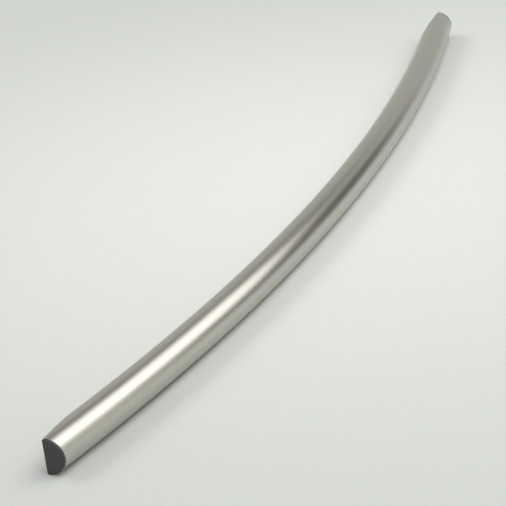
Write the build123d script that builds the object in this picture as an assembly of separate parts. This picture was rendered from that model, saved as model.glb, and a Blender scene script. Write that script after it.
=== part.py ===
"""Bowed refrigerator door handle: a round steel tube bent to one arc, cut flat where it meets the door.

Frame, in millimetres: X runs along the handle, +Y points at the door skin, which is the plane y = 0,
and Z is up with the handle lying on its side. The origin is midway between the two door studs.
The lower end is the -X end and the upper end is its mirror image.
"""
from build123d import *
from math import asin, degrees, sqrt
import os

# Bar: one round tube, bent in the XY plane.
overall_length = 790.0      # over both end caps
bow_height = 42.5           # rise of the tube's centre line between its two ends
end_setback = 0.2           # centre line in front of the door plane at the end faces
tube_diameter = 25.0
tube_wall = 1.2
skin_gap = 0.3              # cut metal edge stays this far off the door

# Door stud: the shoulder bolt on the door, which this handle slips over.
stud_diameter = 11.1
stud_clearance = 0.2        # all round
socket_depth = 12.0         # from the door plane to the blind end
socket_wall = 2.5           # metal round the socket

# Set screw: holds the socket on the stud, and keys the block in the tube.
set_screw_diameter = 5.0
set_screw_length = 5.0
set_screw_key = 2.5         # hexagon, across flats
set_screw_key_depth = 2.5
set_screw_point = 1.2       # depth of the cupped point
set_screw_depth = 7.5       # from the door plane to the screw's axis
set_screw_sink = 0.2        # outer end below the tube's surface, screw backed off
set_screw_gap = 0.05        # in its thread
access_gap = 0.3            # round the screw in the tube's wall
screw_end_break = 0.4

# End cap: one moulding with the D-shaped cover, the spigot inside the tube and the foot plate.
cap_gap = 0.15              # to the inside of the tube
cap_cover = 2.0             # lies on the tube's end, flush with its outside
cap_spigot = 1.5
foot_plate = 2.5
foot_length = 58.0          # from the end face to the tip under the tube
cap_edge_break = 0.4        # bevel round the cover's outer face
gusset_thickness = 1.6
gusset_spread = 12.0        # between the two gussets
gusset_height = 7.0
gusset_gap = 0.4            # to the block
boss_gap = 0.2              # round the block's boss in the foot plate

# Mount block: a casting with the stud socket.
block_gap = 0.2             # to the inside of the tube, at the block's ends
block_start = 7.0           # from the end face
block_floor = 3.0           # under the foot plate
block_side = 2.2            # walls round the cored pocket
block_web = 2.0
pocket_corner = 2.0
set_screw_boss = 10.0       # diameter
foot_screw_boss = 7.0       # diameter
foot_screw_floor = 1.2      # metal beyond the foot screw's hole

# Foot screws: countersunk, two to each end, from the foot plate into the block.
foot_screw_diameter = 3.0
foot_screw_length = 9.0
foot_screw_head = 5.6
foot_screw_sink = 0.3       # head below the foot plate's face
foot_screw_gap = 0.03       # in the block
foot_screw_tip_gap = 0.4    # from the tip to the end of its hole
foot_screw_clearance = 0.2  # round the shank in the foot plate
foot_screw_seat_gap = 0.03  # under the cone
outer_screw_margin = 4.0    # from the block's outer end to the outer screw's axis
outer_screw_web = 1.95      # from the outer screw's head to the stud socket's boss
inner_screw_web = 2.95      # from that boss to the inner screw's head
inner_screw_margin = 8.0    # from the inner screw's axis to the block's inner end
cross_slot_width = 0.8
cross_slot_length = 3.0
cross_slot_depth = 1.3

# Worked out from the sizes above.
end_x = overall_length / 2
tube_radius = tube_diameter / 2
bow_radius = (end_x ** 2 + bow_height ** 2) / (2 * bow_height)
bow_centre = Vector(0, bow_radius - bow_height - end_setback, 0)
bow_axis = Axis(bow_centre, (0, 0, 1))
socket_radius = stud_diameter / 2 + stud_clearance
boss_radius = socket_radius + socket_wall
reach = tube_diameter + bow_height + end_setback

# Distances from the end face inwards: outer foot screw, stud, inner foot screw, end of the block.
outer_screw_inset = block_start + outer_screw_margin
stud_inset = outer_screw_inset + foot_screw_head / 2 + outer_screw_web + boss_radius
inner_screw_inset = stud_inset + boss_radius + inner_screw_web + foot_screw_head / 2
block_end = inner_screw_inset + inner_screw_margin
foot_screw_insets = (outer_screw_inset, inner_screw_inset)
stud_x = stud_inset - end_x


def centre_line_y(inset):
    """The tube's centre line at this distance from an end face."""
    return bow_centre.Y - sqrt(bow_radius ** 2 - (end_x - inset) ** 2)


def round_section(shrink):
    """The tube's section moved in by shrink: two half circles that meet at the front and at the back."""
    radius = tube_radius - shrink
    upper_half = ThreePointArc((-radius, 0), (0, radius), (radius, 0))
    lower_half = ThreePointArc((radius, 0), (0, -radius), (-radius, 0))
    return make_face(Curve() + [upper_half, lower_half])


def bent_rod(shrink):
    """A solid round bar on the handle's arc, smaller in radius than the tube by shrink."""
    half_turn = degrees(asin(end_x / (bow_radius - tube_diameter))) + 1.0
    section = Plane.YZ * Pos(-(bow_height + end_setback), 0) * round_section(shrink)
    start = section.rotate(bow_axis, -half_turn)
    return revolve(start, bow_axis, 2 * half_turn)


def straight_rod(shrink, inset_from, inset_to):
    """A straight round bar on a chord of the centre line, overrunning both distances from the end face."""
    start = Vector(inset_from - end_x, centre_line_y(inset_from), 0)
    chord = Vector(inset_to - end_x, centre_line_y(inset_to), 0) - start
    along = chord.normalized()
    section_plane = Plane(start - along * tube_diameter, x_dir=(-along.Y, along.X, 0), z_dir=along)
    return extrude(section_plane * round_section(shrink), chord.length + 2 * tube_diameter)


def lower_slab(inset_from, inset_to, door_side, front_side):
    """A block of space at the lower end, between two distances from the end face and two from the door."""
    size = Box(
        inset_to - inset_from,
        front_side - door_side,
        2 * tube_diameter,
        align=(Align.MIN, Align.MAX, Align.CENTER),
    )
    return Pos(inset_from - end_x, -door_side, 0) * size


def rod_towards_door(inset, radius, door_side, front_side):
    """A round bar along Y at the lower end."""
    rod = Cylinder(radius, front_side - door_side, align=(Align.CENTER, Align.CENTER, Align.MIN))
    return Pos(inset - end_x, -door_side, 0) * Rot(90, 0, 0) * rod


def rod_from_side(radius, outer_z, inner_z):
    """A round bar along Z on the set screw's axis."""
    rod = Cylinder(radius, inner_z - outer_z, align=(Align.CENTER, Align.CENTER, Align.MIN))
    return Pos(stud_x, -set_screw_depth, outer_z) * rod


def tube_surface_z(depth):
    """Half width of the tube at the stud, at this distance from the door plane."""
    offset = depth + centre_line_y(stud_inset)
    return sqrt(tube_radius ** 2 - offset ** 2)


def handle_bar():
    """The bent tube, cut flat behind and square at its ends, with a set screw hole near each end."""
    tube = bent_rod(0) - bent_rod(tube_wall)
    cut_length = overall_length - 2 * cap_cover
    kept = Box(cut_length, reach, 2 * tube_diameter, align=(Align.CENTER, Align.MAX, Align.CENTER))
    bar = tube & (Pos(0, -skin_gap, 0) * kept)
    hole = rod_from_side(set_screw_diameter / 2 + access_gap, -tube_diameter, 0)
    return bar - hole - mirror(hole, about=Plane.YZ)


def gusset(z):
    """A triangular web in the corner between the cap's spigot and its foot plate."""
    wall_face = cap_cover + cap_spigot
    run = block_start - gusset_gap - wall_face
    corner = Plane.XY * Polyline(
        (wall_face - end_x, -foot_plate),
        (wall_face - end_x + run, -foot_plate),
        (wall_face - end_x, -foot_plate - gusset_height),
        close=True,
    )
    return Pos(0, 0, z - gusset_thickness / 2) * extrude(make_face(corner), gusset_thickness)


def foot_screw_seat():
    """The clearance hole and countersink in the foot plate, about the screw's own axis."""
    return foot_screw_body(foot_screw_clearance, foot_screw_seat_gap, 0) + Cylinder(
        foot_screw_head / 2 + foot_screw_seat_gap,
        foot_screw_sink,
        align=(Align.CENTER, Align.CENTER, Align.MIN),
    )


def lower_end_cap():
    """The moulding that closes the tube's end and fills the flat behind it, down to the door skin."""
    cover = bent_rod(0) & lower_slab(0, cap_cover, 0, reach)
    spigot = lower_slab(cap_cover, cap_cover + cap_spigot, 0, reach)
    plate = lower_slab(cap_cover, foot_length, 0, foot_plate)
    gussets = gusset(gusset_spread / 2) + gusset(-gusset_spread / 2)
    cap = cover + (bent_rod(tube_wall + cap_gap) & (spigot + plate + gussets))
    outer_face = cap.faces().sort_by(Axis.X)[0]
    cap = chamfer(outer_face.edges(), cap_edge_break)
    cap -= rod_towards_door(stud_inset, boss_radius + boss_gap, 0, foot_plate)
    for inset in foot_screw_insets:
        cap -= foot_screw_place(inset) * foot_screw_seat()
    return cap


def lower_mount_block():
    """The cored casting in the tube, straight, with the stud socket's boss coming through the foot plate."""
    space = lower_slab(block_start, block_end, foot_plate, reach)
    blank = straight_rod(tube_wall + block_gap, block_start, block_end) & space
    floor_depth = foot_plate + block_floor
    pocket_width = tube_diameter - 2 * (tube_wall + block_gap + block_side)
    pocket = Box(
        block_end - block_start - 2 * block_side,
        reach,
        pocket_width,
        align=(Align.MIN, Align.MAX, Align.CENTER),
    )
    pocket = fillet(pocket.edges().filter_by(Axis.Y), pocket_corner)
    pocket = Pos(block_start + block_side - end_x, -floor_depth, 0) * pocket
    web = Box(block_end - block_start, reach, block_web, align=(Align.MIN, Align.MAX, Align.CENTER))
    kept = Pos(block_start - end_x, -floor_depth, 0) * web
    kept += rod_towards_door(stud_inset, boss_radius, foot_plate, reach)
    kept += rod_from_side(set_screw_boss / 2, -tube_diameter, 0)
    hole_end = foot_screw_sink + foot_screw_length + foot_screw_tip_gap
    for inset in foot_screw_insets:
        kept += rod_towards_door(inset, foot_screw_boss / 2, foot_plate, hole_end + foot_screw_floor)
    block = (blank - pocket) + (kept & blank)
    block += rod_towards_door(stud_inset, boss_radius, 0, foot_plate)
    block -= rod_towards_door(stud_inset, socket_radius, 0, socket_depth)
    block -= rod_from_side(set_screw_diameter / 2 + set_screw_gap, -tube_diameter, 0)
    for inset in foot_screw_insets:
        block -= rod_towards_door(inset, foot_screw_diameter / 2 + foot_screw_gap, 0, hole_end)
    return block


def lower_set_screw():
    """A headless screw with a hexagon socket outside and a cupped point towards the stud."""
    radius = set_screw_diameter / 2
    body = Cylinder(radius, set_screw_length, align=(Align.CENTER, Align.CENTER, Align.MIN))
    body = chamfer(body.edges().filter_by(GeomType.CIRCLE), screw_end_break)
    key = extrude(RegularPolygon(set_screw_key / 2, 6, major_radius=False), set_screw_key_depth)
    cup_radius = radius - 2 * screw_end_break
    cup = Cone(cup_radius, 0, set_screw_point, align=(Align.CENTER, Align.CENTER, Align.MIN))
    point = Pos(0, 0, set_screw_length) * Rot(180, 0, 0) * cup
    outer_z = -(tube_surface_z(set_screw_depth) - set_screw_sink)
    return Pos(stud_x, -set_screw_depth, outer_z) * (body - key - point)


def foot_screw_body(shank_gap, cone_gap, slot_depth):
    """A countersunk screw along +Z with the flat of its head at z = 0, grown by the gaps given."""
    head_radius = foot_screw_head / 2 + cone_gap
    shank_radius = foot_screw_diameter / 2 + shank_gap
    head_height = head_radius - shank_radius
    head = Cone(head_radius, shank_radius, head_height, align=(Align.CENTER, Align.CENTER, Align.MIN))
    shank = Cylinder(shank_radius, foot_screw_length, align=(Align.CENTER, Align.CENTER, Align.MIN))
    screw = Rot(180, 0, 0) * (head + shank)
    if slot_depth:
        slot = Box(
            cross_slot_length,
            cross_slot_width,
            slot_depth,
            align=(Align.CENTER, Align.CENTER, Align.MAX),
        )
        screw -= slot + Rot(0, 0, 90) * slot
    return screw


def foot_screw_place(inset):
    """Where a foot screw's head sits at the lower end, facing the door."""
    return Pos(inset - end_x, -foot_screw_sink, 0) * Rot(-90, 0, 0)


def lower_foot_screw(inset):
    """One countersunk screw of the lower end."""
    screw = foot_screw_body(0, 0, cross_slot_depth)
    tip = screw.faces().sort_by(Axis.Z)[0]
    screw = chamfer(tip.edges(), screw_end_break)
    return foot_screw_place(inset) * screw


def all_nodes():
    """Every node of the handle by name, in the handle's frame."""
    lower = {
        "end_cap": lower_end_cap(),
        "mount_block": lower_mount_block(),
        "set_screw": lower_set_screw(),
        "outer_foot_screw": lower_foot_screw(foot_screw_insets[0]),
        "inner_foot_screw": lower_foot_screw(foot_screw_insets[1]),
    }
    nodes = {"handle_bar": handle_bar()}
    for name, piece in lower.items():
        nodes[f"lower_{name}"] = piece
        nodes[f"upper_{name}"] = mirror(piece, about=Plane.YZ)
    return nodes


os.makedirs("parts", exist_ok=True)
for node_name, solid in all_nodes().items():
    export_step(solid, f"parts/{node_name}.step")
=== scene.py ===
"""A bowed refrigerator door handle lying on its side on a pale floor.

The bar is one round steel tube bent to an arc, cut flat where it meets the door and brushed lengthwise.
Dark moulded caps close its ends and hide cast mount blocks. Lengths are in metres.
"""

import logging
import math
from dataclasses import dataclass, field
from enum import Enum
from typing import Any

import bpy
from mathutils import Matrix, Quaternion, Vector

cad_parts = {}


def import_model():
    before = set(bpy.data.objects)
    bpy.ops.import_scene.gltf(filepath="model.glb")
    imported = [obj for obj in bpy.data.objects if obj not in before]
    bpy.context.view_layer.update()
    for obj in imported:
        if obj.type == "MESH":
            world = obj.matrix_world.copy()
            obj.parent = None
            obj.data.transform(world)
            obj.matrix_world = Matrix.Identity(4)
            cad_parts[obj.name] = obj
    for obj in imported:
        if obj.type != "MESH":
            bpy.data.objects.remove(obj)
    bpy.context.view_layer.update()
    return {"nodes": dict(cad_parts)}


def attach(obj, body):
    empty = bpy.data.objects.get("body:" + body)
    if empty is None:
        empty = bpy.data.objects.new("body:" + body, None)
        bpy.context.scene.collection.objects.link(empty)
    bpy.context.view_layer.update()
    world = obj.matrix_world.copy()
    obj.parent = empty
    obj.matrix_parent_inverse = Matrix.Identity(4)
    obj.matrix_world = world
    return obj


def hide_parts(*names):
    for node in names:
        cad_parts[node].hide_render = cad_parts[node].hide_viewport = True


LOG = logging.getLogger("door_handle")
MM = 0.001
UV_MAP = "UVMap"
Colour = tuple[float, float, float]


class End(Enum):
    """The two ends of the handle, with the sign of X on their side."""

    LOWER = -1
    UPPER = 1

    @property
    def prefix(self) -> str:
        """The first word of this end's node names."""
        return self.name.lower()


class Mix(Enum):
    """What a Mix node blends, with the places of its two inputs and its output for that."""

    VECTOR = (4, 5, 1)
    RGBA = (6, 7, 2)


class Wire:
    """A number or vector on its way through a node tree, with arithmetic that adds the nodes for it."""

    def __init__(self, tree: bpy.types.NodeTree, socket: bpy.types.NodeSocket) -> None:
        """Hold one output socket of a tree."""
        self.tree = tree
        self.socket = socket

    def math(self, operation: str, *others: "Number") -> "Wire":
        """Add a Math node.

        Args:
            operation: The node's operation, such as "MULTIPLY".
            others: The further operands, as wires or plain numbers.

        Returns:
            The node's result.
        """
        node = self.tree.nodes.new("ShaderNodeMath")
        node.operation = operation
        for slot, value in zip(node.inputs, (self, *others)):
            feed(self.tree, slot, value)
        return Wire(self.tree, node.outputs[0])

    def __add__(self, other: "Number") -> "Wire":
        """The sum."""
        return self.math("ADD", other)

    def __sub__(self, other: "Number") -> "Wire":
        """The difference."""
        return self.math("SUBTRACT", other)

    def __mul__(self, other: "Number") -> "Wire":
        """The product."""
        return self.math("MULTIPLY", other)

    def __truediv__(self, other: "Number") -> "Wire":
        """The quotient."""
        return self.math("DIVIDE", other)

    def square(self) -> "Wire":
        """The value times itself."""
        return self.math("MULTIPLY", self)

    def root(self) -> "Wire":
        """The square root."""
        return self.math("SQRT")

    def remap(self, low: "Number", high: "Number") -> "Wire":
        """The straight line that is low at 0 and high at 1."""
        start, finish = (v if isinstance(v, Wire) else constant(self.tree, v) for v in (low, high))
        return start + self * (finish - start)


Number = Wire | float


def feed(tree: bpy.types.NodeTree, slot: bpy.types.NodeSocket, value: Any) -> None:
    """Give an input socket its value.

    Args:
        tree: The tree that the socket belongs to.
        slot: The input.
        value: A wire, an output socket or a plain value.
    """
    if isinstance(value, Wire):
        tree.links.new(value.socket, slot)
    elif isinstance(value, bpy.types.NodeSocket):
        tree.links.new(value, slot)
    else:
        slot.default_value = value


def constant(tree: bpy.types.NodeTree, value: float) -> Wire:
    """A plain number as a wire.

    Args:
        tree: The tree to add the node to.
        value: The number.

    Returns:
        The wire that carries it.
    """
    node = tree.nodes.new("ShaderNodeValue")
    node.outputs[0].default_value = value
    return Wire(tree, node.outputs[0])


def add_node(
    tree: bpy.types.NodeTree, kind: str, inputs: dict[str | int, Any] | None = None, **settings: Any
) -> bpy.types.Node:
    """Add a node and fill in its inputs.

    Args:
        tree: The tree to add it to.
        kind: The node's type name.
        inputs: Values or wires, by the input's name or place.
        settings: Properties of the node itself.

    Returns:
        The new node.
    """
    node = tree.nodes.new(kind)
    for name, value in settings.items():
        setattr(node, name, value)
    for name, value in (inputs or {}).items():
        feed(tree, node.inputs[name], value)
    return node


def mixed(tree: bpy.types.NodeTree, kind: Mix, share: Wire, start: Any, finish: Any) -> Wire:
    """A blend of two colours or two points.

    Args:
        tree: The tree to add it to.
        kind: What is blended.
        share: 0 at the start and 1 at the finish.
        start: The first value or wire.
        finish: The second value or wire.

    Returns:
        The blend.
    """
    first, second, result = kind.value
    mix = add_node(tree, "ShaderNodeMix", {0: share, first: start, second: finish}, data_type=kind.name)
    return Wire(tree, mix.outputs[result])


def smooth_step(tree: bpy.types.NodeTree, value: bpy.types.NodeSocket, start: float, finish: float) -> Wire:
    """A soft rise from 0 to 1.

    Args:
        tree: The tree to add it to.
        value: What it follows.
        start: The value up to which it is 0.
        finish: The value from which it is 1.

    Returns:
        The rise.
    """
    limits = {"Value": value, "From Min": start, "From Max": finish}
    ramp = add_node(tree, "ShaderNodeMapRange", limits, interpolation_type="SMOOTHSTEP")
    return Wire(tree, ramp.outputs["Result"])


@dataclass(frozen=True)
class Finish:
    """A surface finish: one look for one kind of part.

    Attributes:
        name: The material's name.
        colour: Linear base colour.
        roughness: Mean roughness of the gloss.
        metallic: 1 for bare metal and 0 for plastic.
        specular: Level of the gloss on plastic.
        shades: Darkest and lightest colour, as shares of the base colour.
        gloss_spread: How far the roughness strays from its mean, as a share of it.
        relief: Height of the surface's pattern.
        relief_strength: Share of the relief's effect.
    """

    name: str
    colour: Colour
    roughness: float
    metallic: float = 1.0
    specular: float = 0.5
    shades: tuple[float, float] = (0.85, 1.15)
    gloss_spread: float = 0.2
    relief: float = 0.05 * MM
    relief_strength: float = 0.5

    def material(self) -> bpy.types.Material:
        """The finish as a material, made once.

        Returns:
            The material, new or as made before.
        """
        known = bpy.data.materials.get(self.name)
        if known:
            return known
        made = bpy.data.materials.new(self.name)
        made.use_nodes = True
        made.node_tree.nodes.clear()
        shader = made.node_tree.nodes.new("ShaderNodeBsdfPrincipled")
        output = made.node_tree.nodes.new("ShaderNodeOutputMaterial")
        made.node_tree.links.new(shader.outputs["BSDF"], output.inputs["Surface"])
        made.diffuse_color = (*self.colour, 1.0)
        self.dress(made.node_tree, shader)
        return made

    def dress(self, tree: bpy.types.NodeTree, shader: bpy.types.Node) -> None:
        """Fill in the shader; each finish does this its own way."""
        raise NotImplementedError

    def speckle(self, tree: bpy.types.NodeTree, scale: float, detail: float = 3.0) -> Wire:
        """Even noise on Object coordinates.

        Args:
            tree: The material's tree.
            scale: Grains per metre.
            detail: Octaves of finer noise.

        Returns:
            The noise, about 0.5 on average.
        """
        place = add_node(tree, "ShaderNodeTexCoord").outputs["Object"]
        noise = add_node(tree, "ShaderNodeTexNoise", {"Vector": place, "Scale": scale, "Detail": detail})
        return Wire(tree, noise.outputs["Fac"])

    def coat(
        self, tree: bpy.types.NodeTree, shader: bpy.types.Node, shade: Wire, gloss: Wire, height: Wire
    ) -> None:
        """Set the colour, roughness and relief by three patterns, each 0 to 1.

        Args:
            tree: The material's tree.
            shader: Its Principled BSDF.
            shade: Where the colour is dark and light.
            gloss: Where the surface is glossy and rough.
            height: Where the surface is low and high.
        """
        dark, light = ((*[c * share for c in self.colour], 1.0) for share in self.shades)
        low, high = (self.roughness * (1.0 + sign * self.gloss_spread) for sign in (-1.0, 1.0))
        raised = {"Height": height, "Distance": self.relief, "Strength": self.relief_strength}
        values = {
            "Base Color": mixed(tree, Mix.RGBA, shade, dark, light),
            "Roughness": gloss.remap(low, high),
            "Metallic": self.metallic,
            "Specular IOR Level": self.specular,
            "Normal": add_node(tree, "ShaderNodeBump", raised).outputs["Normal"],
        }
        for name, value in values.items():
            feed(tree, shader.inputs[name], value)


@dataclass(frozen=True)
class BrushedSteel(Finish):
    """Satin stainless steel with fine lines along the part, read from its UV map in metres.

    Attributes:
        lines: Brush lines per metre across the part.
        stretch: How many times longer than wide a line is.
        coarseness: How many times wider the broad lines are than the fine ones.
        broad_share: Weight of the broad lines.
        line_detail: Octaves of finer noise in the lines.
        anisotropy: How far the gloss spreads across the lines.
        gloss_turn: Turn of that spread from the UV map's first direction, as a share of a full turn.
        edge: Share of its gloss that the steel keeps where it is seen at a flat angle.
    """

    shades: tuple[float, float] = (0.96, 1.04)
    gloss_spread: float = 0.07
    relief: float = 0.02 * MM
    relief_strength: float = 0.07
    lines: float = 1800.0
    stretch: float = 90.0
    coarseness: float = 3.0
    broad_share: float = 0.3
    line_detail: float = 2.0
    anisotropy: float = 0.8
    gloss_turn: float = 0.25
    edge: float = 0.93

    def dress(self, tree: bpy.types.NodeTree, shader: bpy.types.Node) -> None:
        """Fill in the shader.

        Args:
            tree: The material's tree.
            shader: Its Principled BSDF.
        """
        place = add_node(tree, "ShaderNodeUVMap", uv_map=UV_MAP).outputs["UV"]
        fine = self.streaks(tree, place, self.lines)
        broad = self.streaks(tree, place, self.lines / self.coarseness)
        blend = fine * (1.0 - self.broad_share) + broad * self.broad_share
        self.coat(tree, shader, blend, blend, blend)
        shader.inputs["Specular Tint"].default_value = (self.edge, self.edge, self.edge, 1.0)
        shader.inputs["Anisotropic"].default_value = self.anisotropy
        shader.inputs["Anisotropic Rotation"].default_value = self.gloss_turn
        tangent = add_node(tree, "ShaderNodeTangent", direction_type="UV_MAP", uv_map=UV_MAP)
        tree.links.new(tangent.outputs["Tangent"], shader.inputs["Tangent"])

    def streaks(self, tree: bpy.types.NodeTree, place: bpy.types.NodeSocket, lines: float) -> Wire:
        """Noise drawn out along the part.

        Args:
            tree: The material's tree.
            place: The UV coordinates.
            lines: Lines per metre across the part.

        Returns:
            The noise, about 0.5 on average.
        """
        scale = (lines / self.stretch, lines, 1.0)
        drawn = add_node(tree, "ShaderNodeMapping", {"Vector": place, "Scale": scale}).outputs["Vector"]
        settings = {"Vector": drawn, "Scale": 1.0, "Detail": self.line_detail}
        return Wire(tree, add_node(tree, "ShaderNodeTexNoise", settings).outputs["Fac"])


@dataclass(frozen=True)
class GrainyFinish(Finish):
    """A fine, even grain under broader clouds.

    Attributes:
        grain: Grains per metre.
        grain_share: Weight of the grain in the colour; the clouds have the rest.
        clouds: Clouds per metre.
        cloud_detail: Octaves of finer noise in the clouds.
    """

    grain: float = 2600.0
    grain_share: float = 0.0
    clouds: float = 160.0
    cloud_detail: float = 3.0

    def dress(self, tree: bpy.types.NodeTree, shader: bpy.types.Node) -> None:
        """Fill in the shader.

        Args:
            tree: The material's tree.
            shader: Its Principled BSDF.
        """
        grain = self.speckle(tree, self.grain)
        cloud = self.speckle(tree, self.clouds, self.cloud_detail)
        shade = grain * self.grain_share + cloud * (1.0 - self.grain_share)
        self.coat(tree, shader, shade, cloud, grain)


@dataclass(frozen=True)
class MouldedPlastic(GrainyFinish):
    """Dark moulded plastic with a fine spark-eroded texture."""

    metallic: float = 0.0
    specular: float = 0.45
    shades: tuple[float, float] = (0.82, 1.18)
    gloss_spread: float = 0.15
    grain_share: float = 0.5
    clouds: float = 90.0
    cloud_detail: float = 2.0


@dataclass(frozen=True)
class CastMetal(GrainyFinish):
    """Die-cast metal: soft gloss, cloudy flow marks and a slightly pitted skin."""

    shades: tuple[float, float] = (0.8, 1.15)
    relief: float = 0.06 * MM
    grain: float = 1500.0
    cloud_detail: float = 4.0


@dataclass(frozen=True)
class ScrewFinish(GrainyFinish):
    """Plated or blackened screw steel with a fine, even grain."""

    relief: float = 0.01 * MM
    relief_strength: float = 0.3
    grain: float = 4000.0
    clouds: float = 420.0


@dataclass(frozen=True)
class Finishes:
    """Every finish on the handle."""

    bar: Finish = BrushedSteel("satin_brushed_steel", colour=(0.576, 0.563, 0.508), roughness=0.28)
    cap: Finish = MouldedPlastic("dark_grey_moulding", colour=(0.046, 0.05, 0.051), roughness=0.5)
    block: Finish = CastMetal("die_cast_metal", colour=(0.5, 0.5, 0.5), roughness=0.42)
    set_screw: Finish = ScrewFinish("black_oxide_steel", colour=(0.075, 0.075, 0.08), roughness=0.38)
    foot_screw: Finish = ScrewFinish("zinc_plated_steel", colour=(0.62, 0.62, 0.6), roughness=0.3)


@dataclass
class BowedBar:
    """The round tube on its arc, open at both ends and cut flat where it meets the door.

    The tube's skin is the set of points (x, y, z) with a turn t round the tube, where
    y = centre - sqrt((bow_radius + tube_radius cos t)^2 - x^2) and z = tube_radius sin t.

    Attributes:
        finish: The bar's finish.
        half_length: Middle to the outer face of an end cap.
        cap_cover: Part of that length taken by the cap's cover.
        bow_height: Rise of the centre line over the whole length.
        end_setback: Centre line in front of the door plane at the caps' outer faces.
        tube_radius: Outer radius of the tube.
        wall: Thickness of the tube.
        skin_gap: Cut edge to the door plane.
        stud_inset: Outer face of the cap to the axis of the access hole.
        hole_depth: Door plane to that axis.
        hole_radius: Radius of the access hole.
        hole_sides: Facets round that hole.
        edge_break: Rounding of the cut edges.
        weld: Points closer than this are joined.
        smooth_limit: Corners over this angle stay sharp, in degrees.
        stations_middle: Cross sections of the closed stretch.
        stations_end: Cross sections of each cut end.
        turns: Points round a cross section.
        inputs: The tree's sizes as wires, once it is made.
    """

    finish: Finish
    half_length: float = 395 * MM
    cap_cover: float = 2 * MM
    bow_height: float = 42.5 * MM
    end_setback: float = 0.2 * MM
    tube_radius: float = 12.5 * MM
    wall: float = 1.2 * MM
    skin_gap: float = 0.3 * MM
    stud_inset: float = 24 * MM
    hole_depth: float = 7.5 * MM
    hole_radius: float = 2.8 * MM
    hole_sides: int = 48
    edge_break: float = 0.25 * MM
    weld: float = 0.002 * MM
    smooth_limit: float = 32.0
    stations_middle: int = 121
    stations_end: int = 33
    turns: int = 97
    inputs: dict[str, Wire] = field(default_factory=dict)

    def build(self) -> bpy.types.Object:
        """Make the bar and put it in the frame in place of its plain solid.

        Returns:
            The finished bar.
        """
        holder = bpy.data.objects.new("bar_source", bpy.data.meshes.new("bar_source"))
        bpy.context.scene.collection.objects.link(holder)
        tree = self.tree()
        modifier = holder.modifiers.new("bowed_tube", "NODES")
        modifier.node_group = tree
        for name, value in self.sizes().items():
            modifier[socket_id(tree, name)] = value
        modifier[socket_id(tree, "Finish")] = self.finish.material()
        bar = plain_copy(holder, "brushed_bar")
        round_edges(bar, self.edge_break)
        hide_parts("handle_bar")
        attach(bar, "handle")
        return bar

    def sizes(self) -> dict[str, float]:
        """The tree's named inputs.

        Returns:
            Each input's value by name.
        """
        radius = (self.half_length ** 2 + self.bow_height ** 2) / (2 * self.bow_height)
        return {
            "Half length": self.half_length - self.cap_cover,
            "Bow radius": radius,
            "Bow centre": radius - self.bow_height - self.end_setback,
            "Tube radius": self.tube_radius,
            "Wall": self.wall,
            "Skin gap": self.skin_gap,
        }

    def tree(self) -> bpy.types.NodeTree:
        """The geometry nodes that make the tube.

        Returns:
            The node tree, with its sizes as inputs.
        """
        tree = bpy.data.node_groups.new("bowed_tube", "GeometryNodeTree")
        face = tree.interface
        for name in self.sizes():
            face.new_socket(name, in_out="INPUT", socket_type="NodeSocketFloat")
        face.new_socket("Finish", in_out="INPUT", socket_type="NodeSocketMaterial")
        face.new_socket("Geometry", in_out="OUTPUT", socket_type="NodeSocketGeometry")
        source = tree.nodes.new("NodeGroupInput")
        self.inputs = {name: Wire(tree, source.outputs[name]) for name in self.sizes()}
        outer = Skin(self, tree, constant(tree, 0.0))
        inner = Skin(self, tree, self.inputs["Wall"])
        patches = [
            outer.middle(),
            *both_ends(tree, outer.end()),
            flipped(tree, inner.middle()),
            *[flipped(tree, patch) for patch in both_ends(tree, inner.end())],
            *both_ends(tree, flat_lip(outer, inner)),
            *both_ends(tree, end_ring(outer, inner)),
        ]
        joined = add_node(tree, "GeometryNodeJoinGeometry")
        for patch in patches:
            tree.links.new(patch, joined.inputs[0])
        welding = {"Geometry": joined.outputs[0], "Distance": self.weld}
        merged = add_node(tree, "GeometryNodeMergeByDistance", welding)
        solid = self.with_access_holes(tree, merged.outputs[0])
        shaded = shade_by_angle(tree, solid, math.radians(self.smooth_limit))
        realized = add_node(tree, "GeometryNodeRealizeInstances", {"Geometry": shaded})
        painting = {"Geometry": realized.outputs[0], "Material": source.outputs["Finish"]}
        painted = add_node(tree, "GeometryNodeSetMaterial", painting)
        output = tree.nodes.new("NodeGroupOutput")
        tree.links.new(painted.outputs[0], output.inputs["Geometry"])
        return tree

    def with_access_holes(
        self, tree: bpy.types.NodeTree, solid: bpy.types.NodeSocket
    ) -> bpy.types.NodeSocket:
        """Drill the set screws' holes through the tube's under side.

        Args:
            tree: The bar's tree.
            solid: The closed tube.

        Returns:
            The drilled tube.
        """
        cut = add_node(tree, "GeometryNodeMeshBoolean", operation="DIFFERENCE", solver="MANIFOLD")
        tree.links.new(solid, cut.inputs["Mesh 1"])
        for end in End:
            sizes = {"Vertices": self.hole_sides, "Radius": self.hole_radius, "Depth": self.tube_radius}
            drill = add_node(tree, "GeometryNodeMeshCylinder", sizes).outputs["Mesh"]
            place = (end.value * (self.half_length - self.stud_inset), -self.hole_depth, -self.tube_radius)
            moved = add_node(tree, "GeometryNodeTransform", {"Geometry": drill, "Translation": place})
            tree.links.new(moved.outputs[0], cut.inputs["Mesh 2"])
        return cut.outputs["Mesh"]


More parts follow.
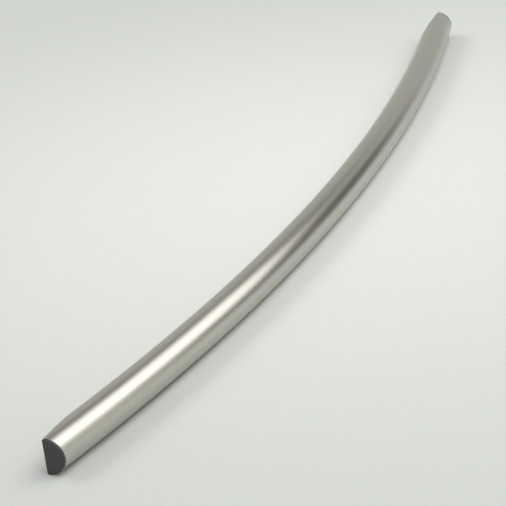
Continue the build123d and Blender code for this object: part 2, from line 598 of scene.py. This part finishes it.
class Skin:
    """One surface of the tube, outer or inner, as patches over a grid."""

    def __init__(self, bar: BowedBar, tree: bpy.types.NodeTree, shrink: Wire) -> None:
        """Work out the surface's own sizes.

        Args:
            bar: The bar that it belongs to.
            tree: The bar's tree.
            shrink: Distance inside the outer surface.
        """
        self.bar = bar
        self.tree = tree
        self.radius = bar.inputs["Bow radius"]
        self.centre = bar.inputs["Bow centre"]
        self.reach = self.centre + bar.inputs["Skin gap"]
        self.tube = bar.inputs["Tube radius"] - shrink
        self.end_turn = self.cut_turn(bar.inputs["Half length"])
        self.tip_x = ((self.radius - self.tube).square() - self.reach.square()).root()

    def cut_turn(self, x: Wire) -> Wire:
        """The turn round the tube, in radians, at which the door-side cut begins at one x."""
        distance = (self.reach.square() + x.square()).root()
        return ((distance - self.radius) / self.tube).math("ARCCOSINE")

    def cut_x(self, turn: Wire) -> Wire:
        """The x at which the cut reaches one turn round the tube, in radians."""
        return (self.ring(turn).square() - self.reach.square()).root()

    def ring(self, turn: Wire) -> Wire:
        """Distance from the bow's axis at one turn round the tube, in radians."""
        return self.radius + self.tube * turn.math("COSINE")

    def point(self, x: Wire, turn: Wire) -> Wire:
        """The point of the surface at one x and turn.

        Args:
            x: Distance from the middle.
            turn: The turn in radians.

        Returns:
            The point as a vector.
        """
        y = self.centre - (self.ring(turn).square() - x.square()).root()
        z = self.tube * turn.math("SINE")
        vector = add_node(self.tree, "ShaderNodeCombineXYZ", {"X": x, "Y": y, "Z": z})
        return Wire(self.tree, vector.outputs[0])

    def middle(self) -> bpy.types.NodeSocket:
        """The closed stretch between the two flat cuts.

        Returns:
            The patch's mesh.
        """
        grid = Grid(self.tree, self.bar.stations_middle, self.bar.turns)
        x = grid.across.remap(self.tip_x * -1.0, self.tip_x)
        turn = grid.up.remap(-math.pi, math.pi)
        return grid.placed(self.point(x, turn), x, turn * self.tube)

    def end(self) -> bpy.types.NodeSocket:
        """The open stretch from the tip of the flat cut to the +X end face.

        Returns:
            The patch's mesh.
        """
        grid = Grid(self.tree, self.bar.stations_end, self.bar.turns)
        widest = grid.across.remap(math.pi, self.end_turn)
        x = self.cut_x(widest)
        turn = grid.up.remap(widest * -1.0, widest)
        return grid.placed(self.point(x, turn), x, turn * self.tube)


class Strip(Enum):
    """The narrow faces that close the tube, with each one's width and length in the UV map."""

    LIP = (1 * MM, 100 * MM)
    RING = (1 * MM, 50 * MM)


class Grid:
    """A unit grid whose vertices are moved to a surface, with a UV map in metres."""

    def __init__(self, tree: bpy.types.NodeTree, columns: int, rows: int) -> None:
        """Add the grid.

        Args:
            tree: The tree to add it to.
            columns: Vertices along the part.
            rows: Vertices round it.
        """
        self.tree = tree
        self.mesh = add_node(tree, "GeometryNodeMeshGrid", {"Vertices X": columns, "Vertices Y": rows})
        place = add_node(tree, "GeometryNodeInputPosition").outputs[0]
        split = add_node(tree, "ShaderNodeSeparateXYZ", {0: place})
        self.across = Wire(tree, split.outputs["X"]) + 0.5
        self.up = Wire(tree, split.outputs["Y"]) + 0.5

    def placed(self, point: Wire, along: Wire, around: Wire) -> bpy.types.NodeSocket:
        """Move the vertices and write the UV map.

        Args:
            point: Where each vertex goes.
            along: First UV coordinate.
            around: Second UV coordinate.

        Returns:
            The finished patch.
        """
        pair = add_node(self.tree, "ShaderNodeCombineXYZ", {"X": along, "Y": around})
        mapped = add_node(self.tree, "GeometryNodeStoreNamedAttribute", data_type="FLOAT2", domain="CORNER")
        mapped.inputs["Name"].default_value = UV_MAP
        self.tree.links.new(self.mesh.outputs["Mesh"], mapped.inputs["Geometry"])
        self.tree.links.new(pair.outputs[0], mapped.inputs["Value"])
        inputs = {"Geometry": mapped.outputs[0], "Position": point}
        return add_node(self.tree, "GeometryNodeSetPosition", inputs).outputs[0]

    def stretched(self, strip: Strip, start: Wire, finish: Wire) -> bpy.types.NodeSocket:
        """Stretch the grid between two lines as one of the tube's narrow faces.

        Args:
            strip: Which face.
            start: The points of its first long edge.
            finish: The points of its second one.

        Returns:
            The finished patch.
        """
        width, length = strip.value
        point = mixed(self.tree, Mix.VECTOR, self.across, start, finish)
        return self.placed(point, self.across * width, self.up * length)


def flat_lip(outer: Skin, inner: Skin) -> bpy.types.NodeSocket:
    """The tube's cut edge that lies along the door, at the +X end.

    Args:
        outer: The tube's outer surface.
        inner: Its inner surface.

    Returns:
        The lip's mesh, both of its sides.
    """
    tree = outer.tree
    grid = Grid(tree, 2, 2 * outer.bar.stations_end - 1)
    side = grid.up * 2.0 - 1.0
    share = side.math("ABSOLUTE")
    sign = side.math("GREATER_THAN", 0.0) * 2.0 - 1.0
    points = []
    for skin in (inner, outer):
        turn = share.remap(math.pi, skin.end_turn)
        points.append(skin.point(skin.cut_x(turn), turn * sign))
    return grid.stretched(Strip.LIP, *points)


def end_ring(outer: Skin, inner: Skin) -> bpy.types.NodeSocket:
    """The tube's square-cut end at +X.

    Args:
        outer: The tube's outer surface.
        inner: Its inner surface.

    Returns:
        The ring's mesh.
    """
    tree = outer.tree
    grid = Grid(tree, 2, outer.bar.turns)
    points = []
    for skin in (outer, inner):
        turn = grid.up.remap(skin.end_turn * -1.0, skin.end_turn)
        points.append(skin.point(outer.bar.inputs["Half length"], turn))
    return grid.stretched(Strip.RING, *points)


def flipped(tree: bpy.types.NodeTree, mesh: bpy.types.NodeSocket) -> bpy.types.NodeSocket:
    """A mesh with its faces turned round."""
    return add_node(tree, "GeometryNodeFlipFaces", {"Mesh": mesh}).outputs[0]


def both_ends(tree: bpy.types.NodeTree, mesh: bpy.types.NodeSocket) -> list[bpy.types.NodeSocket]:
    """A patch of the +X end and its mirror image at -X."""
    mirrored = add_node(tree, "GeometryNodeTransform", {"Geometry": mesh, "Scale": (-1.0, 1.0, 1.0)})
    return [mesh, flipped(tree, mirrored.outputs[0])]


def shade_by_angle(
    tree: bpy.types.NodeTree, mesh: bpy.types.NodeSocket, limit: float
) -> bpy.types.NodeSocket:
    """Smooth shading with the sharp corners kept.

    Args:
        tree: The tree that holds the mesh.
        mesh: The mesh.
        limit: Corners over this angle stay sharp, in radians.

    Returns:
        The shaded mesh.
    """
    angle = Wire(tree, add_node(tree, "GeometryNodeInputMeshEdgeAngle").outputs["Unsigned Angle"])
    for domain, smooth in (("FACE", True), ("EDGE", angle.math("LESS_THAN", limit))):
        inputs = {"Geometry": mesh, "Shade Smooth": smooth}
        mesh = add_node(tree, "GeometryNodeSetShadeSmooth", inputs, domain=domain).outputs[0]
    return mesh


def socket_id(tree: bpy.types.NodeTree, name: str) -> str:
    """The identifier of a tree's input, by its name."""
    return next(i.identifier for i in tree.interface.items_tree if i.name == name and i.in_out == "INPUT")


def plain_copy(source: bpy.types.Object, name: str) -> bpy.types.Object:
    """The evaluated object as a plain mesh; the source is removed.

    Args:
        source: An object with live modifiers.
        name: The new object's name.

    Returns:
        The new object, at the origin.
    """
    graph = bpy.context.evaluated_depsgraph_get()
    shape = source.evaluated_get(graph)
    mesh = bpy.data.meshes.new_from_object(shape, preserve_all_data_layers=True, depsgraph=graph)
    bpy.data.objects.remove(source)
    mesh.name = name
    made = bpy.data.objects.new(name, mesh)
    bpy.context.scene.collection.objects.link(made)
    return made


def round_edges(obj: bpy.types.Object, size: float, limit: float = 40.0) -> None:
    """Break an object's sharp edges with a small rounding.

    Args:
        obj: The object.
        size: Width of the rounding.
        limit: Corners over this angle are rounded, in degrees.
    """
    bevel = obj.modifiers.new("edge_break", "BEVEL")
    bevel.width = size
    bevel.segments = 2
    bevel.limit_method = "ANGLE"
    bevel.angle_limit = math.radians(limit)
    bevel.harden_normals = True


@dataclass
class EndFitting:
    """What fills one end of the tube: cap, mount block, set screw and the cap's two screws.

    Attributes:
        end: Which end.
        nodes: The frame's solids by name.
        finishes: The handle's finishes.
    """

    end: End
    nodes: dict[str, bpy.types.Object]
    finishes: Finishes

    def build(self) -> list[bpy.types.Object]:
        """Dress the end's solids.

        Returns:
            The dressed solids.
        """
        looks = {
            "end_cap": self.finishes.cap,
            "mount_block": self.finishes.block,
            "set_screw": self.finishes.set_screw,
            "outer_foot_screw": self.finishes.foot_screw,
            "inner_foot_screw": self.finishes.foot_screw,
        }
        dressed = []
        for piece, finish in looks.items():
            solid = self.nodes[f"{self.end.prefix}_{piece}"]
            dress_solid(solid, finish)
            dressed.append(solid)
        return dressed


def dress_solid(solid: bpy.types.Object, finish: Finish) -> None:
    """Give one of the frame's solids its finish.

    Args:
        solid: The solid.
        finish: Its finish.
    """
    made = finish.material()
    if not solid.material_slots:
        solid.data.materials.append(made)
    for slot in solid.material_slots:
        slot.material = made


def heading(azimuth: float, height: float) -> Vector:
    """A direction in the room: degrees from +X towards +Y, and degrees above level."""
    turn, rise = math.radians(azimuth), math.radians(height)
    return Vector((math.cos(turn) * math.cos(rise), math.sin(turn) * math.cos(rise), math.sin(rise)))


@dataclass(frozen=True)
class SoftLamp:
    """A soft rectangular lamp.

    Attributes:
        name: The lamp's name.
        azimuth: Its direction from the handle, in degrees from +X towards +Y.
        height: Its direction above level, in degrees.
        roll: Its turn about that direction, in degrees.
        distance: From the origin.
        size: Width and height.
        radiance: Brightness of its face, where 1 is white.
    """

    name: str
    azimuth: float
    height: float
    roll: float
    distance: float
    size: tuple[float, float]
    radiance: float


@dataclass(frozen=True)
class DarkPlace:
    """A round, soft-edged darker place in the room that the bar mirrors.

    Attributes:
        azimuth: Its direction from the handle, in degrees from +X towards +Y.
        height: Its direction above level, in degrees.
        inner: Radius of its even middle, in degrees.
        outer: Radius at which it has faded out, in degrees.
        level: Brightness of its middle as a share of the room's.
    """

    azimuth: float
    height: float
    inner: float
    outer: float
    level: float

    def factor(self, tree: bpy.types.NodeTree, direction: bpy.types.NodeSocket) -> Wire:
        """The share of the room's brightness that is left in each direction.

        Args:
            tree: The world's tree.
            direction: The direction looked in.

        Returns:
            The share.
        """
        vectors = {0: direction, 1: heading(self.azimuth, self.height)}
        dot = add_node(tree, "ShaderNodeVectorMath", vectors, operation="DOT_PRODUCT")
        rims = (math.cos(math.radians(angle)) for angle in (self.outer, self.inner))
        return smooth_step(tree, dot.outputs["Value"], *rims).remap(1.0, self.level)


@dataclass
class Studio:
    """The pale floor, the soft lights and the camera.

    Attributes:
        floor_z: Height of the floor, where the handle rests.
        floor_reach: Distance from the middle to each edge of the floor.
        floor_roughness: Roughness of its faint gloss.
        floor_specular: Level of that gloss.
        floor_colour: Linear colour of the floor in its middle, a painted pool of light.
        rim_colour: Its darker colour from floor_rim outwards, painted shade where the light falls off.
        floor_middle: X and Y of the middle of the painted pool of light.
        floor_rim: Distance from there at which the painted shade reaches its full depth.
        backdrop_colour: Even colour that the camera sees behind the floor.
        fade_start: Distance from the lightest point at which that colour begins to cover the floor.
        fade_end: Distance from which the camera sees no other.
        room_colour: Colour of the room in reflections.
        room_level: Brightness of the room in reflections.
        camera_place: The camera's position.
        camera_turn: Direction of view: azimuth from +X, fall below level, and roll, in degrees.
        photo_width: Width of the photograph, in pixels.
        focal_pixels: Focal length, in those pixels.
        sensor_width: Width of the camera's sensor, in millimetres.
        clip: Nearest and farthest distance that the camera sees.
        lamps: The soft lamps.
        dark_places: The darker places in the room.
    """

    floor_z: float = -12.5 * MM
    floor_reach: float = 6.0
    floor_roughness: float = 0.75
    floor_specular: float = 0.2
    # Painted pool of light on the floor and the painted shade round it, where the light falls off.
    floor_colour: Colour = (0.71, 0.724, 0.702)
    rim_colour: Colour = (0.576, 0.598, 0.579)
    floor_middle: tuple[float, float] = (0.05, 0.0)
    floor_rim: float = 0.6
    camera_place: tuple[float, float, float] = (-1.18235, -0.53376, 0.57224)
    camera_turn: tuple[float, float, float] = (25.6836, 25.61843, -6.46836)
    photo_width: float = 506.0
    focal_pixels: float = 1802.37
    sensor_width: float = 36.0
    clip: tuple[float, float] = (0.01, 50.0)
    backdrop_colour: Colour = (0.745, 0.763, 0.723)
    fade_start: float = 1.0
    fade_end: float = 2.6
    room_colour: Colour = (0.987, 0.99, 0.95)
    room_level: float = 0.59
    lamps: tuple[SoftLamp, ...] = (
        SoftLamp(
            "window_light", azimuth=-39.1, height=45.3, roll=46.1,
            distance=3.65, size=(2.98, 2.06), radiance=1.86,
        ),
        SoftLamp(
            "front_light", azimuth=-95.0, height=68.0, roll=0.0,
            distance=2.0, size=(1.3, 1.3), radiance=3.2,
        ),
        SoftLamp(
            "back_light", azimuth=95.0, height=45.0, roll=0.0,
            distance=2.5, size=(1.0, 1.0), radiance=5.2,
        ),
    )
    dark_places: tuple[DarkPlace, ...] = (
        DarkPlace(azimuth=-37.0, height=16.0, inner=11.0, outer=22.0, level=0.12),
        DarkPlace(azimuth=-1.5, height=58.5, inner=15.0, outer=34.0, level=0.1),
    )

    def build(self) -> None:
        """Make the floor, lights, world and camera."""
        self.floor()
        for lamp in self.lamps:
            self.lamp(lamp)
        self.world()
        self.camera()

    def floor(self) -> None:
        """A wide plane under the handle."""
        mesh = bpy.data.meshes.new("floor")
        signs = ((-1, -1), (1, -1), (1, 1), (-1, 1))
        points = [(x * self.floor_reach, y * self.floor_reach, self.floor_z) for x, y in signs]
        mesh.from_pydata(points, [], [(0, 1, 2, 3)])
        plane = bpy.data.objects.new("floor", mesh)
        bpy.context.scene.collection.objects.link(plane)
        mesh.materials.append(self.floor_paper())

    def floor_paper(self) -> bpy.types.Material:
        """Pale paper that fades, for the camera alone, into the backdrop far from the handle.

        Returns:
            The floor's material.
        """
        paper = bpy.data.materials.new("floor_paper")
        paper.use_nodes = True
        tree = paper.node_tree
        shader = tree.nodes["Principled BSDF"]
        shader.inputs["Roughness"].default_value = self.floor_roughness
        shader.inputs["Specular IOR Level"].default_value = self.floor_specular
        place = add_node(tree, "ShaderNodeTexCoord").outputs["Object"]
        points = {0: place, 1: (*self.floor_middle, self.floor_z)}
        distance = add_node(tree, "ShaderNodeVectorMath", points, operation="DISTANCE").outputs["Value"]
        # The paper is painted lighter round its middle and darker towards its rim: a painted pool of light
        # with painted shade where the light falls off.
        share = smooth_step(tree, distance, 0.0, self.floor_rim)
        colour = mixed(tree, Mix.RGBA, share, (*self.floor_colour, 1.0), (*self.rim_colour, 1.0))
        feed(tree, shader.inputs["Base Color"], colour)
        even = add_node(tree, "ShaderNodeEmission", {"Color": (*self.backdrop_colour, 1.0), "Strength": 1.0})
        seen = Wire(tree, add_node(tree, "ShaderNodeLightPath").outputs["Is Camera Ray"])
        faded = seen * smooth_step(tree, distance, self.fade_start, self.fade_end)
        mix = add_node(tree, "ShaderNodeMixShader", {0: faded, 1: shader.outputs[0], 2: even.outputs[0]})
        tree.links.new(mix.outputs[0], tree.nodes["Material Output"].inputs["Surface"])
        return paper

    def lamp(self, lamp: SoftLamp) -> None:
        """Hang a soft rectangular lamp that faces the handle.

        Args:
            lamp: The lamp's place, size and brightness.
        """
        data = bpy.data.lights.new(lamp.name, "AREA")
        data.shape = "RECTANGLE"
        data.size, data.size_y = lamp.size
        data.energy = lamp.radiance * math.pi * lamp.size[0] * lamp.size[1]
        holder = bpy.data.objects.new(lamp.name, data)
        bpy.context.scene.collection.objects.link(holder)
        direction = heading(lamp.azimuth, lamp.height)
        holder.location = direction * lamp.distance
        upright = direction.to_track_quat("Z", "Y")
        holder.rotation_euler = (upright @ Quaternion((0.0, 0.0, 1.0), math.radians(lamp.roll))).to_euler()
        holder.visible_camera = False

    def world(self) -> None:
        """A grey room with a few darker places, seen in reflections, and a pale one seen by the camera."""
        world = bpy.data.worlds.new("studio")
        bpy.context.scene.world = world
        world.use_nodes = True
        tree = world.node_tree
        tree.nodes.clear()
        level = constant(tree, 1.0)
        direction = add_node(tree, "ShaderNodeTexCoord").outputs["Generated"]
        for place in self.dark_places:
            level = level * place.factor(tree, direction)
        room, pale = (
            add_node(tree, "ShaderNodeBackground", {"Color": (*colour, 1.0), "Strength": strength}).outputs[0]
            for colour, strength in ((self.room_colour, level * self.room_level), (self.backdrop_colour, 1.0))
        )
        seen = add_node(tree, "ShaderNodeLightPath").outputs["Is Camera Ray"]
        mix = add_node(tree, "ShaderNodeMixShader", {0: seen, 1: room, 2: pale})
        output = tree.nodes.new("ShaderNodeOutputWorld")
        tree.links.new(mix.outputs[0], output.inputs["Surface"])

    def camera(self) -> None:
        """The camera at the photograph's place, angle and lens."""
        data = bpy.data.cameras.new("camera")
        data.sensor_fit = "HORIZONTAL"
        data.sensor_width = self.sensor_width
        data.lens = self.sensor_width * self.focal_pixels / self.photo_width
        data.clip_start, data.clip_end = self.clip
        turn, fall, roll = (math.radians(v) for v in self.camera_turn)
        look = Vector((math.cos(turn) * math.cos(fall), math.sin(turn) * math.cos(fall), -math.sin(fall)))
        level = Vector((math.sin(turn), -math.cos(turn), 0.0))
        upright = level.cross(look)
        right = level * math.cos(roll) + upright * math.sin(roll)
        up = upright * math.cos(roll) - level * math.sin(roll)
        camera = bpy.data.objects.new("camera", data)
        turned = Matrix((right, up, -look)).transposed().to_4x4()
        camera.matrix_world = Matrix.Translation(self.camera_place) @ turned
        bpy.context.scene.collection.objects.link(camera)
        bpy.context.scene.camera = camera


def main() -> None:
    """Build and dress every piece, then set the studio."""
    logging.basicConfig(level=logging.INFO, format="%(name)s: %(message)s")
    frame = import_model()
    finishes = Finishes()
    bar = BowedBar(finishes.bar).build()
    LOG.info("%s: %d faces", bar.name, len(bar.data.polygons))
    for end in End:
        for piece in EndFitting(end, frame["nodes"], finishes).build():
            LOG.info("%s: %s", piece.name, piece.material_slots[0].material.name)
    Studio().build()
    scene = bpy.context.scene
    scene.view_settings.view_transform = "Standard"


if __name__ == "__main__":
    main()
